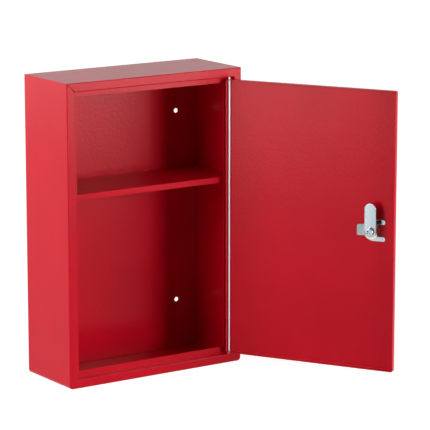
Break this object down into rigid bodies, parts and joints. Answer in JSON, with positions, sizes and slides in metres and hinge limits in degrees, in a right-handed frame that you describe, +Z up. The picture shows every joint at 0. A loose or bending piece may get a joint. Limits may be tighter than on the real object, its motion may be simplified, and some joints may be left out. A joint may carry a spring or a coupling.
{
  "type": "lockable medicine cabinet",
  "caption": "Small red sheet steel wall cabinet with a shelf and a hinged door that closes flush in its front frame and is held by a cam lock.",
  "frame": {"origin": "middle of the underside of the body, on the surface it stands on", "axes": "-Y out of the front, +Z up, +X to the right seen from the front, which is the hinge side"},
  "size_m": [0.2984, 0.2504, 0.32],
  "materials": {
    "red_coat": "smooth satin powder coat on steel sheet",
    "zinc_plate": "bright zinc plating, lightly brushed",
    "nickel_plate": "polished nickel plating on zinc alloy",
    "nylon": "plain moulded nylon",
    "brass": "stamped brass",
    "spring_steel": "drawn spring wire"
  },
  "bodies": {
    "cabinet": {"body_shell": "red_coat", "top_panel": "red_coat", "back_panel": "red_coat", "shelf": "red_coat", "hinge_rod": "zinc_plate", "hinge_washer": "nylon"},
    "door": {"door_pan": "red_coat", "lock_housing": "nickel_plate", "lock_clip": "zinc_plate"},
    "lock": {"lock_plug": "nickel_plate", "wafer_1": "brass", "wafer_2": "brass", "wafer_3": "brass", "wafer_4": "brass", "wafer_spring_1": "spring_steel", "wafer_spring_2": "spring_steel", "wafer_spring_3": "spring_steel", "wafer_spring_4": "spring_steel", "stop_washer": "zinc_plate", "lock_cam": "zinc_plate", "toothed_washer": "zinc_plate", "cam_screw": "zinc_plate"}
  },
  "joints": [
    {"name": "door_hinge", "type": "hinge", "parent": "cabinet", "child": "door", "pos_m": [0.0942, -0.04, 0.16], "axis": [0, 0, 1], "range_deg": [-120, 2]},
    {"name": "lock_turn", "type": "hinge", "parent": "door", "child": "lock", "pos_m": [0.17883, -0.18259, 0.16], "axis": [0.866, 0.5, 0], "range_deg": [0, 90]}
  ]
}
